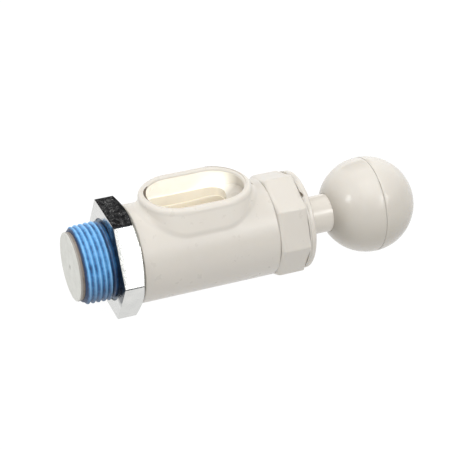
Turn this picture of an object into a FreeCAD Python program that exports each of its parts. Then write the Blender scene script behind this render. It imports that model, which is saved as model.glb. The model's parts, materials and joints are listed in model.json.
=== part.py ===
import FreeCAD, Part
import math
import os

# Direct-acting ball float valve, stored lying on its side with the float at rest.
# The X axis is the valve's axis: the threaded inlet is at -X and the ball at +X.
# The origin is on the axis, in the face of the hexagon that meets the tank port.
# The open side port looks up, along +Z. All lengths are in millimetres.

Vector = FreeCAD.Vector
ORIGIN = Vector(0, 0, 0)
AXIS = Vector(1, 0, 0)

# ---- Running and seating gaps ----
RUNNING_GAP = 0.05
SEATING_GAP = 0.05
END_FLOAT = 0.1

# ---- Construction allowances, which leave no mark on the finished pieces ----
OVERRUN = 1.0
NEAR = 0.1

# ---- Inlet fitting: 3/4-14 taper pipe thread, hexagon, rear spigot ----
THREAD_PITCH = 25.4 / 14
THREAD_TAPER = 1 / 16
THREAD_DEPTH = 0.8 * THREAD_PITCH
THREAD_SMALL_CREST_R = 13.02
THREAD_CREST_HALF_FLAT = 0.09
THREAD_ROOT_HALF_FLAT = 0.07
THREAD_LEAD_CHAMFER = 1.0
THREAD_LEAD_HEIGHT = 0.1
THREAD_RUN_OUT_TURNS = 1.06
THREAD_BURIED_DEPTH = 0.3
THREAD_CREST_ALLOWANCE = 0.05
STUB_END_X = -10.6
INLET_BORE_R = 8.3
HEX_ACROSS_FLATS = 35.0
HEX_FIRST_CORNER = 30.0
HEX_CHAMFER_X = 6.4
HEX_REAR_X = 7.6
HEX_REAR_R = 17.1
SHOULDER_RELIEF_R = 13.9
SHOULDER_RELIEF_DEPTH = 0.4
SPIGOT_R = 11.95
SPIGOT_END_X = 14.4
GUIDE_SEAT_X = 8.5
GUIDE_BORE_R = 10.0

# ---- Spider guide, its ring, and the flat gasket behind the hexagon ----
GUIDE_THICKNESS = 3.0
GUIDE_RIM_WALL = 1.5
GUIDE_HUB_R = 4.6
GUIDE_SPOKE_WIDTH = 2.2
GUIDE_SPOKES = 3
RING_GROOVE_R = 10.7
RING_THICKNESS = 1.0
RING_INNER_R = 8.9
RING_MOUTH_ANGLE = 40
BODY_GASKET_OUTER_R = 15.7

# ---- Valve body: a tube with a slot, and a raised oblong collar round the slot ----
BODY_START_X = 8.2
BODY_END_X = 55.8
BODY_R = 16.7
BODY_BORE_R = 13.6
BODY_EDGE_ROUND = 0.4
BODY_STEP_GAP = 0.3
PORT_START_X = 15.0
PORT_END_X = 48.4
PORT_WIDTH = 20.6
PORT_TOP_Z = 20.4
SLOT_START_X = 15.4
SLOT_END_X = 42.2
SLOT_WIDTH = 19.8
COLLAR_START_X = 12.4
COLLAR_END_X = 51.0
COLLAR_WIDTH = 26.2
COLLAR_ROOT_FILLET = 2.4
COLLAR_OUTER_RIM_ROUND = 1.5
COLLAR_INNER_RIM_ROUND = 0.8

# ---- Octagonal end cap ----
CAP_CORNER_R = 18.02
CAP_CLOCKING = 2.0
CAP_NECK_R = 16.1
CAP_NECK_X = 56.3
CAP_FLATS_START_X = 58.1
CAP_FLATS_END_X = 66.35
CAP_CORNER_EASE = 0.45
CAP_ROUNDED_R = 17.87
CAP_SEAT_R = 15.6
CAP_SEAT_X = 66.8
CAP_SPIGOT_R = 13.5
CAP_SPIGOT_START_X = 50.0
CAP_SPIGOT_INNER_R = 12.1
CAP_WEB_X = 58.0
CAP_BORE_R = 10.4
CAP_GASKET_INNER_R = 13.7
CAP_GASKET_OUTER_R = 15.0

# ---- Guide bush, its clip and the stem wiper ----
BUSH_FLANGE_R = 17.0
BUSH_FLANGE_END_X = 68.8
BUSH_EDGE_ROUND = 0.7
BUSH_BARREL_R = 10.35
BUSH_BARREL_START_X = 55.6
BUSH_CLIP_X = 56.9
BUSH_CLIP_GROOVE_R = 9.4
BUSH_CLIP_OUTER_R = 11.9
WIPER_X = 63.5
WIPER_SECTION_R = 0.9
WIPER_GROOVE_HALF = 1.1

# ---- Stem: sleeve, steel spindle, clips and spring ----
STEM_R = 6.58
SLEEVE_START_X = 28.4
SLEEVE_EDGE_CHAMFER = 0.5
SPINDLE_R = 1.5
SPINDLE_START_X = -11.3
SPINDLE_END_X = 88.5
SPINDLE_CHAMFER = 0.3
CLIP_THICKNESS = 0.6
CLIP_GROOVE_R = 1.15
CLIP_GRIP_GAP = 0.02
CLIP_OUTER_R = 3.1
CLIP_MOUTH_WIDTH = 1.9
SPRING_WASHER_X = 24.6
SPRING_WASHER_R = 4.6
SPRING_WASHER_THICKNESS = 0.8
SPRING_WIRE_R = 0.175
SPRING_MEAN_R = 3.6
SPRING_TURNS = 9

# ---- Poppet disc, seal and nut ----
DISC_FACE_X = -12.35
DISC_BACK_X = -11.5
DISC_R = 11.6
DISC_EDGE_ROUND = 0.3
DISC_DIMPLE_LENGTH = 1.1
DISC_DIMPLE_R = 0.22
DISC_SPIGOT_R = 7.9
DISC_SPIGOT_END_X = -10.9
DISC_BOSS_R = 4.4
DISC_BOSS_END_X = -6.4
DISC_FUSE_DEPTH = 0.5
SEAL_INNER_R = 8.0
SEAL_OUTER_R = 11.4
SEAL_SEAT_GAP = 0.02
NUT_ACROSS_FLATS = 5.5
NUT_THICKNESS = 2.4
NUT_EDGE_EASE = 0.25

# ---- Ball float: two shells, a lapped joint and a brass insert ----
BALL_CENTRE_X = 95.1
BALL_R = 16.68
BALL_WALL = 1.8
BALL_LAP_LENGTH = 2.0
BALL_LAP_R = 15.7
BALL_LAP_ROOT = 0.4
BALL_SEAT_GAP = 0.3
BALL_SEAT_X = 79.9
INSERT_R = 3.0
INSERT_START_X = 80.8
INSERT_END_X = 89.0
INSERT_GROOVE_HALF = 0.6
INSERT_GROOVE_DEPTH = 0.5
BALL_BOSS_R = 5.0


def polar(radius, angle, x=0.0):
    """A point at this angle from +Z, turned towards -Y."""
    a = math.radians(angle)
    return Vector(x, -radius * math.sin(a), radius * math.cos(a))


def rod(x0, x1, radius):
    return Part.makeCylinder(radius, x1 - x0, Vector(x0, 0, 0), AXIS)


def tube(x0, x1, outer_r, inner_r):
    return rod(x0, x1, outer_r).cut(rod(x0 - OVERRUN, x1 + OVERRUN, inner_r))


def turned(outline):
    """A solid of revolution about the valve axis, from (x, r) corners."""
    points = [Vector(x, 0, r) for x, r in outline]
    wire = Part.makePolygon(points + points[:1])
    return Part.Face(wire).revolve(ORIGIN, AXIS, 360)


def prism(x0, x1, sides, corner_r, first_corner):
    corners = [polar(corner_r, first_corner + k * 360 / sides, x0) for k in range(sides)]
    face = Part.Face(Part.makePolygon(corners + corners[:1]))
    return face.extrude(Vector(x1 - x0, 0, 0))


def stadium(x0, x1, width, z0, z1):
    """An oblong block with round ends, upright over the axis."""
    half = width / 2
    left, right = x0 + half, x1 - half
    edges = [
        Part.makeLine(Vector(left, half, z0), Vector(right, half, z0)),
        Part.Arc(
            Vector(right, half, z0), Vector(right + half, 0, z0), Vector(right, -half, z0)
        ).toShape(),
        Part.makeLine(Vector(right, -half, z0), Vector(left, -half, z0)),
        Part.Arc(
            Vector(left, -half, z0), Vector(left - half, 0, z0), Vector(left, half, z0)
        ).toShape(),
    ]
    return Part.Face(Part.Wire(edges)).extrude(Vector(0, 0, z1 - z0))


def ring_of_round_section(x, centre_r, section_r):
    return Part.makeTorus(centre_r, section_r, Vector(x, 0, 0), AXIS)


def split_ring(x, thickness, outer_r, inner_r, mouth):
    """A flat ring with a gap cut by the given block or wedge."""
    return tube(x, x + thickness, outer_r, inner_r).cut(mouth)


def corner_radius(across_flats, sides):
    return across_flats / 2 / math.cos(math.pi / sides)


# ---- Fixed pieces ----

def thread_crest_r(x):
    return THREAD_SMALL_CREST_R + (x - STUB_END_X) * THREAD_TAPER / 2


def thread_ridge():
    """The helical ridge of the taper pipe thread, trimmed at both ends."""
    start = STUB_END_X - THREAD_RUN_OUT_TURNS * THREAD_PITCH
    length = SHOULDER_RELIEF_DEPTH - start
    crest = thread_crest_r(start)
    root = crest - THREAD_DEPTH
    buried = root - THREAD_BURIED_DEPTH
    base_half = THREAD_PITCH / 2 - THREAD_ROOT_HALF_FLAT
    cone_angle = math.degrees(math.atan(THREAD_TAPER / 2))
    helix = Part.makeHelix(THREAD_PITCH, length, crest, cone_angle)
    outline = [
        Vector(buried, 0, -base_half),
        Vector(root, 0, -base_half),
        Vector(crest, 0, -THREAD_CREST_HALF_FLAT),
        Vector(crest, 0, THREAD_CREST_HALF_FLAT),
        Vector(root, 0, base_half),
        Vector(buried, 0, base_half),
    ]
    sweep = Part.BRepOffsetAPI.MakePipeShell(Part.Wire(helix.Edges))
    sweep.setBiNormalMode(Vector(0, 0, 1))
    sweep.add(Part.makePolygon(outline + outline[:1]))
    sweep.build()
    sweep.makeSolid()
    ridge = sweep.shape()
    ridge.rotate(ORIGIN, Vector(0, 1, 0), 90)
    ridge.translate(Vector(start, 0, 0))
    lead = THREAD_LEAD_CHAMFER
    envelope = turned([
        (STUB_END_X, INLET_BORE_R),
        (STUB_END_X, thread_crest_r(STUB_END_X) - THREAD_DEPTH + THREAD_LEAD_HEIGHT),
        (STUB_END_X + lead, thread_crest_r(STUB_END_X + lead) + THREAD_CREST_ALLOWANCE),
        (-lead, thread_crest_r(-lead) + THREAD_CREST_ALLOWANCE),
        (SHOULDER_RELIEF_DEPTH, thread_crest_r(0) - THREAD_DEPTH),
        (SHOULDER_RELIEF_DEPTH, INLET_BORE_R),
    ])
    return ridge.common(envelope)


def inlet_fitting():
    root_at_end = thread_crest_r(STUB_END_X) - THREAD_DEPTH
    root_at_hex = thread_crest_r(0) - THREAD_DEPTH
    core = turned([
        (STUB_END_X, 0),
        (STUB_END_X, root_at_end),
        (SHOULDER_RELIEF_DEPTH, root_at_hex),
        (SHOULDER_RELIEF_DEPTH + OVERRUN, root_at_hex),
        (SHOULDER_RELIEF_DEPTH + OVERRUN, SPIGOT_R),
        (SPIGOT_END_X, SPIGOT_R),
        (SPIGOT_END_X, 0),
    ])
    corner = corner_radius(HEX_ACROSS_FLATS, 6)
    hexagon = prism(0, HEX_REAR_X, 6, corner, HEX_FIRST_CORNER)
    hexagon = hexagon.common(turned([
        (0, 0),
        (0, corner + OVERRUN),
        (HEX_CHAMFER_X, corner),
        (HEX_REAR_X, HEX_REAR_R),
        (HEX_REAR_X, 0),
    ]))
    relief = tube(-OVERRUN, SHOULDER_RELIEF_DEPTH, SHOULDER_RELIEF_R, INLET_BORE_R)
    solid = core.fuse(hexagon.cut(relief)).fuse(thread_ridge())
    solid = solid.cut(rod(STUB_END_X - OVERRUN, SPIGOT_END_X + OVERRUN, INLET_BORE_R))
    solid = solid.cut(rod(GUIDE_SEAT_X, SPIGOT_END_X + OVERRUN, GUIDE_BORE_R))
    ring_x = GUIDE_SEAT_X + GUIDE_THICKNESS
    solid = solid.cut(rod(ring_x, ring_x + RING_THICKNESS + END_FLOAT, RING_GROOVE_R))
    return solid.removeSplitter()


def stem_guide():
    """A spider: an outer rim and a hub joined by spokes, so that liquid flows past."""
    x0, x1 = GUIDE_SEAT_X, GUIDE_SEAT_X + GUIDE_THICKNESS
    outer = GUIDE_BORE_R - SEATING_GAP
    solid = tube(x0, x1, outer, outer - GUIDE_RIM_WALL).fuse(rod(x0, x1, GUIDE_HUB_R))
    for k in range(GUIDE_SPOKES):
        spoke = Part.makeBox(
            GUIDE_THICKNESS, GUIDE_SPOKE_WIDTH, outer - GUIDE_RIM_WALL / 2,
            Vector(x0, -GUIDE_SPOKE_WIDTH / 2, 0),
        )
        spoke.rotate(ORIGIN, AXIS, 60 + k * 360 / GUIDE_SPOKES)
        solid = solid.fuse(spoke)
    solid = solid.cut(rod(x0 - OVERRUN, x1 + OVERRUN, SPINDLE_R + RUNNING_GAP))
    return solid.removeSplitter()


def guide_retaining_ring():
    x0 = GUIDE_SEAT_X + GUIDE_THICKNESS
    reach = 2 * RING_GROOVE_R
    half = RING_MOUTH_ANGLE / 2
    mouth = Part.Face(Part.makePolygon([
        Vector(x0, 0, 0), polar(reach, -half, x0), polar(reach, half, x0), Vector(x0, 0, 0),
    ])).extrude(Vector(RING_THICKNESS, 0, 0))
    return split_ring(x0, RING_THICKNESS, RING_GROOVE_R - SEATING_GAP, RING_INNER_R, mouth)


def body_gasket():
    return tube(HEX_REAR_X, BODY_START_X, BODY_GASKET_OUTER_R, SPIGOT_R + SEATING_GAP)


def edges_at(solid, test):
    return [edge for edge in solid.Edges if test(edge)]


def at_collar_root(edge):
    """The line where the collar's wall leaves the round body."""
    box = edge.BoundBox
    inside_top = box.ZMax < PORT_TOP_Z - NEAR
    upper_half = box.ZMin > OVERRUN
    off_ends = box.XMin > BODY_START_X + OVERRUN and box.XMax < BODY_END_X - OVERRUN
    level_or_saddle = box.XLength > OVERRUN
    return inside_top and upper_half and off_ends and level_or_saddle


def at_collar_top(edge):
    return edge.BoundBox.ZMin > PORT_TOP_Z - NEAR / 10


def inside_port(edge):
    box = edge.BoundBox
    within_width = abs(box.Center.y) <= PORT_WIDTH / 2 + NEAR
    narrow = box.YLength <= PORT_WIDTH + NEAR
    within_length = box.XMin >= PORT_START_X - NEAR and box.XMax <= PORT_END_X + NEAR
    return within_width and narrow and within_length


def valve_body():
    shell = rod(BODY_START_X, BODY_END_X, BODY_R)
    end_edges = edges_at(shell, lambda e: e.Curve.TypeId == "Part::GeomCircle")
    shell = shell.makeFillet(BODY_EDGE_ROUND, end_edges)
    collar = stadium(COLLAR_START_X, COLLAR_END_X, COLLAR_WIDTH, 0, PORT_TOP_Z)
    solid = shell.fuse(collar)
    solid = solid.makeFillet(COLLAR_ROOT_FILLET, edges_at(solid, at_collar_root))
    solid = solid.makeFillet(COLLAR_OUTER_RIM_ROUND, edges_at(solid, at_collar_top))
    pocket = stadium(PORT_START_X, PORT_END_X, PORT_WIDTH, 0, PORT_TOP_Z + OVERRUN)
    solid = solid.cut(pocket.cut(rod(BODY_START_X, BODY_END_X, BODY_R)))
    inner = [edge for edge in edges_at(solid, at_collar_top) if inside_port(edge)]
    solid = solid.makeFillet(COLLAR_INNER_RIM_ROUND, inner)
    solid = solid.cut(stadium(SLOT_START_X, SLOT_END_X, SLOT_WIDTH, 0, PORT_TOP_Z))
    solid = solid.cut(rod(SPIGOT_END_X + BODY_STEP_GAP, BODY_END_X + OVERRUN, BODY_BORE_R))
    return solid.cut(
        rod(BODY_START_X - OVERRUN, SPIGOT_END_X + OVERRUN, SPIGOT_R + SEATING_GAP)
    )


def cap_gasket():
    return tube(BODY_END_X, CAP_NECK_X, CAP_GASKET_OUTER_R, CAP_GASKET_INNER_R)


def end_cap():
    spigot = tube(CAP_SPIGOT_START_X, CAP_NECK_X + OVERRUN, CAP_SPIGOT_R, CAP_SPIGOT_INNER_R)
    octagon = prism(CAP_NECK_X, CAP_FLATS_END_X, 8, CAP_CORNER_R, CAP_CLOCKING)
    octagon = octagon.common(turned([
        (CAP_NECK_X, 0),
        (CAP_NECK_X, CAP_NECK_R),
        (CAP_FLATS_START_X, CAP_ROUNDED_R),
        (CAP_FLATS_END_X - CAP_CORNER_EASE, CAP_ROUNDED_R),
        (CAP_FLATS_END_X, CAP_ROUNDED_R - CAP_CORNER_EASE),
        (CAP_FLATS_END_X, 0),
    ]))
    seat = rod(CAP_FLATS_END_X - OVERRUN, CAP_SEAT_X, CAP_SEAT_R)
    solid = octagon.fuse(seat)
    solid = solid.cut(rod(CAP_NECK_X - OVERRUN, CAP_WEB_X, CAP_SPIGOT_INNER_R))
    solid = solid.fuse(spigot)
    return solid.cut(rod(CAP_NECK_X, CAP_SEAT_X + OVERRUN, CAP_BORE_R)).removeSplitter()


def guide_bush():
    flange = rod(CAP_SEAT_X, BUSH_FLANGE_END_X, BUSH_FLANGE_R)
    rim = edges_at(flange, lambda e: e.Curve.TypeId == "Part::GeomCircle")
    flange = flange.makeFillet(BUSH_EDGE_ROUND, rim)
    solid = flange.fuse(rod(BUSH_BARREL_START_X, CAP_SEAT_X + OVERRUN, BUSH_BARREL_R))
    groove = tube(
        BUSH_CLIP_X, BUSH_CLIP_X + RING_THICKNESS + END_FLOAT,
        BUSH_BARREL_R + OVERRUN, BUSH_CLIP_GROOVE_R,
    )
    wiper_groove = rod(
        WIPER_X - WIPER_GROOVE_HALF, WIPER_X + WIPER_GROOVE_HALF,
        STEM_R + 2 * (WIPER_SECTION_R + RUNNING_GAP),
    )
    bore = rod(BUSH_BARREL_START_X - OVERRUN, BUSH_FLANGE_END_X + OVERRUN, STEM_R + RUNNING_GAP)
    return solid.cut(groove).cut(wiper_groove).cut(bore)


def bush_clip():
    mouth = Part.makeBox(
        RING_THICKNESS, 2 * BUSH_CLIP_GROOVE_R, BUSH_CLIP_OUTER_R,
        Vector(BUSH_CLIP_X, -BUSH_CLIP_GROOVE_R, -BUSH_CLIP_OUTER_R - BUSH_CLIP_GROOVE_R / 2),
    )
    return split_ring(
        BUSH_CLIP_X, RING_THICKNESS, BUSH_CLIP_OUTER_R, BUSH_CLIP_GROOVE_R + SEATING_GAP, mouth
    )


def stem_wiper():
    centre_r = STEM_R + WIPER_SECTION_R + RUNNING_GAP
    return ring_of_round_section(WIPER_X, centre_r, WIPER_SECTION_R)


# ---- Pieces that slide with the float ----

def clip_positions():
    first = SPRING_WASHER_X + SPRING_WASHER_THICKNESS
    return first, SLEEVE_START_X - CLIP_THICKNESS


def spindle():
    solid = rod(SPINDLE_START_X, SPINDLE_END_X, SPINDLE_R)
    ends = edges_at(solid, lambda e: e.Curve.TypeId == "Part::GeomCircle")
    solid = solid.makeChamfer(SPINDLE_CHAMFER, ends)
    for x in clip_positions():
        groove = tube(x, x + CLIP_THICKNESS, SPINDLE_R + OVERRUN, CLIP_GROOVE_R)
        solid = solid.cut(groove)
    return solid


def spindle_clips():
    clips = []
    for x in clip_positions():
        mouth = Part.makeBox(
            CLIP_THICKNESS, CLIP_MOUTH_WIDTH, CLIP_OUTER_R + OVERRUN,
            Vector(x, -CLIP_MOUTH_WIDTH / 2, 0),
        )
        clips.append(
            split_ring(x, CLIP_THICKNESS, CLIP_OUTER_R, CLIP_GROOVE_R + CLIP_GRIP_GAP, mouth)
        )
    return Part.makeCompound(clips)


def spring_washer():
    x1 = SPRING_WASHER_X + SPRING_WASHER_THICKNESS
    return tube(SPRING_WASHER_X, x1, SPRING_WASHER_R, SPINDLE_R + RUNNING_GAP)


def return_spring():
    start = GUIDE_SEAT_X + GUIDE_THICKNESS + SPRING_WIRE_R
    length = SPRING_WASHER_X - SPRING_WIRE_R - start
    helix = Part.makeHelix(length / SPRING_TURNS, length, SPRING_MEAN_R)
    section = Part.Wire(Part.makeCircle(
        SPRING_WIRE_R, Vector(SPRING_MEAN_R, 0, 0), Vector(0, 1, 0)
    ))
    wire = Part.Wire(helix.Edges).makePipeShell([section], True, True)
    wire.rotate(ORIGIN, Vector(0, 1, 0), 90)
    wire.translate(Vector(start, 0, 0))
    return wire


def stem_sleeve():
    solid = rod(SLEEVE_START_X, BALL_SEAT_X, STEM_R)
    first = edges_at(solid, lambda e: e.Curve.TypeId == "Part::GeomCircle"
                     and e.BoundBox.XMax < SLEEVE_START_X + OVERRUN)
    solid = solid.makeChamfer(SLEEVE_EDGE_CHAMFER, first)
    return solid.cut(rod(SLEEVE_START_X - OVERRUN, BALL_SEAT_X + OVERRUN, SPINDLE_R + SEATING_GAP))


def poppet_disc():
    disc = rod(DISC_FACE_X, DISC_BACK_X, DISC_R)
    front = edges_at(disc, lambda e: e.Curve.TypeId == "Part::GeomCircle"
                     and e.BoundBox.XMax < DISC_FACE_X + NEAR)
    disc = disc.makeFillet(DISC_EDGE_ROUND, front)
    root_x = DISC_BACK_X - DISC_FUSE_DEPTH
    disc = disc.fuse(rod(root_x, DISC_SPIGOT_END_X, DISC_SPIGOT_R))
    disc = disc.fuse(rod(root_x, DISC_BOSS_END_X, DISC_BOSS_R))
    half = DISC_DIMPLE_LENGTH / 2
    dimple = Part.makeCylinder(
        DISC_DIMPLE_R, DISC_DIMPLE_LENGTH, Vector(DISC_FACE_X, 0, -half), Vector(0, 0, 1)
    )
    hole = rod(SPINDLE_START_X, DISC_BOSS_END_X + OVERRUN, SPINDLE_R + SEATING_GAP)
    return disc.cut(dimple).cut(hole).removeSplitter()


def poppet_seal():
    """A flat washer behind the disc, which shows at the disc's rim."""
    return tube(DISC_BACK_X, STUB_END_X - SEAL_SEAT_GAP, SEAL_OUTER_R, SEAL_INNER_R)


def disc_lock_nut():
    corner = corner_radius(NUT_ACROSS_FLATS, 6)
    x1 = DISC_BOSS_END_X + NUT_THICKNESS
    nut = prism(DISC_BOSS_END_X, x1, 6, corner, 0)
    ease = NUT_EDGE_EASE
    nut = nut.common(turned([
        (DISC_BOSS_END_X, 0),
        (DISC_BOSS_END_X, corner - ease),
        (DISC_BOSS_END_X + ease, corner),
        (x1 - ease, corner),
        (x1, corner - ease),
        (x1, 0),
    ]))
    return nut.cut(rod(DISC_BOSS_END_X - OVERRUN, x1 + OVERRUN, SPINDLE_R + SEATING_GAP))


def ball_half(towards_stem):
    """Half of the hollow ball, without its lap: the -X half or the +X half."""
    centre = Vector(BALL_CENTRE_X, 0, 0)
    ball = Part.makeSphere(BALL_R, centre).cut(Part.makeSphere(BALL_R - BALL_WALL, centre))
    x0 = BALL_CENTRE_X - 2 * BALL_R if towards_stem else BALL_CENTRE_X
    side = Part.makeBox(
        2 * BALL_R, 4 * BALL_R, 4 * BALL_R, Vector(x0, -2 * BALL_R, -2 * BALL_R)
    )
    return ball.common(side)


def float_inner_shell():
    """The half ball that screws on to the spindle, with the lap that centres its partner."""
    solid = ball_half(True)
    boss = rod(BALL_SEAT_X, INSERT_END_X + OVERRUN, BALL_BOSS_R)
    boss = boss.common(Part.makeSphere(BALL_R, Vector(BALL_CENTRE_X, 0, 0)))
    lap = tube(
        BALL_CENTRE_X - BALL_LAP_LENGTH, BALL_CENTRE_X + BALL_LAP_LENGTH,
        BALL_LAP_R, BALL_R - BALL_WALL - BALL_LAP_ROOT,
    )
    solid = solid.fuse(boss).fuse(lap)
    seat = rod(BALL_CENTRE_X - BALL_R - OVERRUN, BALL_SEAT_X, STEM_R + BALL_SEAT_GAP)
    solid = solid.cut(seat)
    solid = solid.cut(
        rod(BALL_SEAT_X - OVERRUN, INSERT_END_X + 2 * OVERRUN, SPINDLE_R + SEATING_GAP)
    )
    return solid.cut(rod(INSERT_START_X, INSERT_END_X, INSERT_R + SEATING_GAP))


def float_outer_shell():
    recess = rod(
        BALL_CENTRE_X - OVERRUN, BALL_CENTRE_X + BALL_LAP_LENGTH + SEATING_GAP,
        BALL_LAP_R + SEATING_GAP,
    )
    return ball_half(False).cut(recess)


def float_insert():
    body = tube(INSERT_START_X, INSERT_END_X, INSERT_R, SPINDLE_R + SEATING_GAP)
    middle = (INSERT_START_X + INSERT_END_X) / 2
    groove = tube(
        middle - INSERT_GROOVE_HALF, middle + INSERT_GROOVE_HALF,
        INSERT_R + OVERRUN, INSERT_R - INSERT_GROOVE_DEPTH,
    )
    return body.cut(groove)


PIECES = {
    "inlet_fitting": inlet_fitting,
    "stem_guide": stem_guide,
    "guide_retaining_ring": guide_retaining_ring,
    "body_gasket": body_gasket,
    "valve_body": valve_body,
    "cap_gasket": cap_gasket,
    "end_cap": end_cap,
    "guide_bush": guide_bush,
    "bush_clip": bush_clip,
    "stem_wiper": stem_wiper,
    "spindle": spindle,
    "spindle_clips": spindle_clips,
    "spring_washer": spring_washer,
    "return_spring": return_spring,
    "stem_sleeve": stem_sleeve,
    "poppet_disc": poppet_disc,
    "poppet_seal": poppet_seal,
    "disc_lock_nut": disc_lock_nut,
    "float_inner_shell": float_inner_shell,
    "float_outer_shell": float_outer_shell,
    "float_insert": float_insert,
}

os.makedirs("parts", exist_ok=True)
for node, build in PIECES.items():
    build().exportStep(f"parts/{node}.step")
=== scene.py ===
"""Looks of the ball float valve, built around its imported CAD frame. Lengths are in metres."""

import json
import math

import bmesh
import bpy
import numpy as np
from mathutils import Matrix, Vector, noise

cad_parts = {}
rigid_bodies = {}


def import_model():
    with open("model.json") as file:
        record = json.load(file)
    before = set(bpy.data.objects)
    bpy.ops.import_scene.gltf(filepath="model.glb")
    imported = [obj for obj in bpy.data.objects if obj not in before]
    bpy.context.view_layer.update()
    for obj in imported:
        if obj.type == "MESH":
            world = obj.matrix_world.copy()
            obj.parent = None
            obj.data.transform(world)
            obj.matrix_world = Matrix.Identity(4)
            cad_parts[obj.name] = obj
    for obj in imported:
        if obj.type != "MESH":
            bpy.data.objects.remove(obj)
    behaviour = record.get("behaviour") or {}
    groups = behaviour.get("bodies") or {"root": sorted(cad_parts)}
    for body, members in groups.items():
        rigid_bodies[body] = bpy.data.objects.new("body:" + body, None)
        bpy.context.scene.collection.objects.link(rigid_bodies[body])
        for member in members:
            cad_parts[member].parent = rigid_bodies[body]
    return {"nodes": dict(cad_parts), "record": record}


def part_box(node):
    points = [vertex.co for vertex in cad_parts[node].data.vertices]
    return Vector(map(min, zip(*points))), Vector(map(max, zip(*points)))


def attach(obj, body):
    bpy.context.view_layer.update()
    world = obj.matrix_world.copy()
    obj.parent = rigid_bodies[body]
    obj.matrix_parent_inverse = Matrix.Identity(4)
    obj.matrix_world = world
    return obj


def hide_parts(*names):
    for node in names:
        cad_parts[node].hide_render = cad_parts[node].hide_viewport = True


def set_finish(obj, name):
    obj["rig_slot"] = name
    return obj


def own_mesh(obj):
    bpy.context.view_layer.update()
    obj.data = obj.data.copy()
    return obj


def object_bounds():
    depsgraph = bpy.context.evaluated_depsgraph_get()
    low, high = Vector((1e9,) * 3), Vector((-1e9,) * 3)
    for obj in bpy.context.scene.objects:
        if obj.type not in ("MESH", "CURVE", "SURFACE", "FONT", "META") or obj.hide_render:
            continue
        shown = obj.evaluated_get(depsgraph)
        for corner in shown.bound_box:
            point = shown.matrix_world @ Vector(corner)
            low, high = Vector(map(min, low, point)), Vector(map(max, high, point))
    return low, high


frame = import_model()
CAD_LOW, CAD_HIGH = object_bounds()

MM = 0.001
NODES = frame["nodes"]

# ---- Camera: where it stands round the valve, in degrees and metres ----
VIEW_AZIMUTH = -21.54
VIEW_ELEVATION = 31.28
VIEW_ROLL = -0.38
VIEW_DISTANCE = 0.518
VIEW_AIM = Vector((41.6, -1.77, 4.7)) * MM
LENS = 123.4
SENSOR = 36.0

# ---- Sizes read from the frame ----
FITTING_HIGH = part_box("inlet_fitting")[1]
BODY_LOW, BODY_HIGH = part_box("valve_body")
CAP_LOW, CAP_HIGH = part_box("end_cap")
BODY_GASKET_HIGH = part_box("body_gasket")[1]
GASKET_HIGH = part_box("cap_gasket")[1]
DISC_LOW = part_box("poppet_disc")[0]
SLEEVE_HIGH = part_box("stem_sleeve")[1]
INNER_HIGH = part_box("float_inner_shell")[1]
OUTER_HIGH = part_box("float_outer_shell")[1]
INSERT_LOW, INSERT_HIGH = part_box("float_insert")
SPRING_LOW, SPRING_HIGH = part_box("return_spring")

# ---- The inlet fitting, as in CAD: 3/4-14 taper pipe thread, hexagon, spigot ----
PITCH = 25.4 / 14 * MM
TAPER = 1 / 32
THREAD_DEPTH = 0.8 * PITCH
SMALL_CREST_R = 13.02 * MM
STUB_END_X = -10.6 * MM
THREAD_START_X = STUB_END_X - 1.06 * PITCH
CREST_HALF_FLAT = 0.09 * MM
ROOT_HALF_FLAT = 0.07 * MM
LEAD_CHAMFER = 1.0 * MM
RELIEF_DEPTH = 0.4 * MM
RELIEF_R = 13.9 * MM
BORE_R = 8.3 * MM
HEX_APOTHEM = 17.5 * MM
HEX_CORNER_R = HEX_APOTHEM / math.cos(math.radians(30))
HEX_FIRST_CORNER = 30.0
HEX_EDGE_ROUND = 0.16 * MM
HEX_CHAMFER_X = 6.4 * MM
HEX_REAR_X = 7.6 * MM
HEX_REAR_R = 17.1 * MM
SPIGOT_R = 11.95 * MM
GUIDE_SEAT_X = 8.5 * MM
GUIDE_BORE_R = 10.0 * MM
RING_GROOVE_X = 11.5 * MM
RING_GROOVE_END_X = 12.6 * MM
RING_GROOVE_R = 10.7 * MM

# ---- The body's port, as in CAD ----
PORT_START_X = 15.0 * MM
PORT_END_X = 48.4 * MM
PORT_HALF_WIDTH = 10.3 * MM
BODY_BORE_R = 13.6 * MM

# ---- The end cap, as in CAD ----
CAP_APOTHEM = 16.648 * MM
CAP_FIRST_CORNER = 2.0
CAP_CORNER_ROUND = 1.1 * MM
CAP_NECK_R = 16.1 * MM
CAP_BEVEL = 2.1 * MM
CAP_FLATS_END_X = 66.35 * MM
CAP_EASE = 0.4 * MM
CAP_SEAT_R = 15.6 * MM
CAP_LIP_GAP = 0.06 * MM
CAP_LIP_R = 16.8 * MM
CAP_LIP_LAP = 0.15 * MM
CAP_SPIGOT_R = 13.5 * MM
CAP_SPIGOT_INNER_R = 12.1 * MM
CAP_WEB_X = 58.0 * MM
CAP_BORE_R = 10.4 * MM

# ---- The ball, as in CAD ----
BALL_WALL = 1.8 * MM
BALL_SEAT_R = 6.88 * MM
BALL_LAP_R = 15.7 * MM
BALL_BOSS_R = 5.0 * MM
SPINDLE_HOLE_R = 1.55 * MM
INSERT_HOLE_R = 3.05 * MM


# ---------------------------------------------------------------- mesh helpers

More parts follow.
